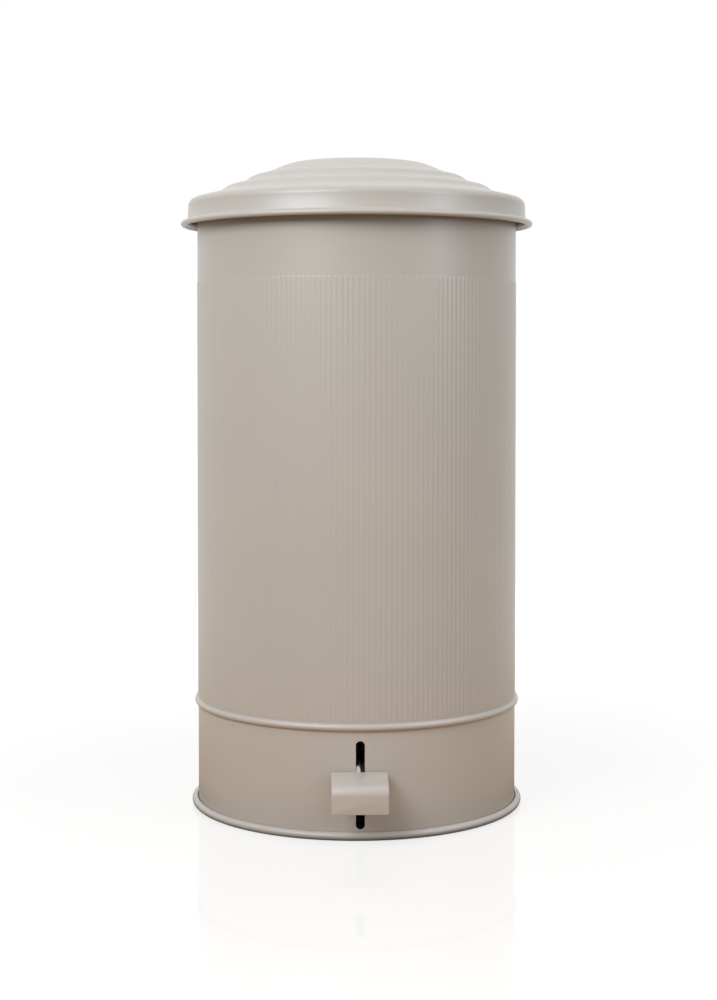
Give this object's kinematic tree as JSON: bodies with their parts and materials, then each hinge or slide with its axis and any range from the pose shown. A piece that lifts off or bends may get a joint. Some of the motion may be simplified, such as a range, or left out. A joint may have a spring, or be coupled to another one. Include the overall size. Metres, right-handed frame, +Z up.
{
  "type": "pedal bin",
  "caption": "Round pedal bin in painted sheet steel: ribbed body, stepped hinged lid worked by a front pedal and a rear push rod, with a lift-out inner bucket.",
  "frame": {"origin": "on the floor, on the axis of the round body", "axes": "+Z up, -Y to the pedal at the front, +Y to the lid's hinge at the rear, +X to the right of someone at the pedal"},
  "size_m": [0.3254, 0.3666, 0.5963],
  "materials": {
    "painted_steel": "satin powder coat, warm greige",
    "zinc_plated_steel": "bright zinc plate",
    "dark_polypropylene": "fine moulded grain",
    "natural_nylon": "satin, as moulded",
    "clear_silicone": "milky satin",
    "black_rubber": "matte"
  },
  "bodies": {
    "can": {"outer_body": "painted_steel", "base_ring": "painted_steel", "bottom_plate": "zinc_plated_steel", "inner_floor": "zinc_plated_steel", "pivot_bracket": "zinc_plated_steel", "pivot_pin": "zinc_plated_steel", "pivot_clips": "zinc_plated_steel", "pivot_rivets": "zinc_plated_steel", "lever_stop": "black_rubber", "rod_guides": "natural_nylon", "guide_rivets": "zinc_plated_steel", "hinge_bracket": "zinc_plated_steel", "hinge_rivets": "zinc_plated_steel", "hinge_pin": "zinc_plated_steel", "hinge_clip": "zinc_plated_steel"},
    "pedal": {"pedal_plate": "painted_steel", "pedal_lever": "painted_steel", "lever_bushes": "natural_nylon"},
    "push_rod": {"push_rod": "zinc_plated_steel", "rod_clevis": "zinc_plated_steel", "clevis_pin": "zinc_plated_steel", "rod_yoke": "zinc_plated_steel"},
    "lid": {"lid_dome": "painted_steel", "lid_bracket": "zinc_plated_steel", "lid_rivets": "zinc_plated_steel", "crank_pin": "zinc_plated_steel", "hinge_bushes": "natural_nylon", "lid_bumpers": "clear_silicone"},
    "bucket": {"inner_bucket": "dark_polypropylene"},
    "bail": {"bail": "zinc_plated_steel", "bail_grip": "dark_polypropylene"}
  },
  "joints": [
    {"name": "lid_hinge", "type": "hinge", "parent": "can", "child": "lid", "pos_m": [0, 0.1761, 0.525], "axis": [-1, 0, 0], "range_deg": [0, 70]},
    {"name": "rod_slide", "type": "slide", "parent": "can", "child": "push_rod", "axis": [0, 0, 1], "range_m": [0, 0.0241]},
    {"name": "pedal_pivot", "type": "hinge", "parent": "can", "child": "pedal", "pos_m": [0, 0, 0.05], "axis": [1, 0, 0], "range_deg": [0, 8.79]},
    {"name": "bucket_lift", "type": "slide", "parent": "can", "child": "bucket", "axis": [0, 0, 1], "range_m": [0, 0.018]},
    {"name": "bail_swing", "type": "hinge", "parent": "bucket", "child": "bail", "pos_m": [0, 0, 0.5173], "axis": [1, 0, 0], "range_deg": [0, 8]}
  ],
  "couplings": [
    {"joint": "rod_slide", "follows": "lid_hinge", "m_per_rad": 0.019718},
    {"joint": "pedal_pivot", "follows": "lid_hinge", "ratio": 0.12553}
  ]
}
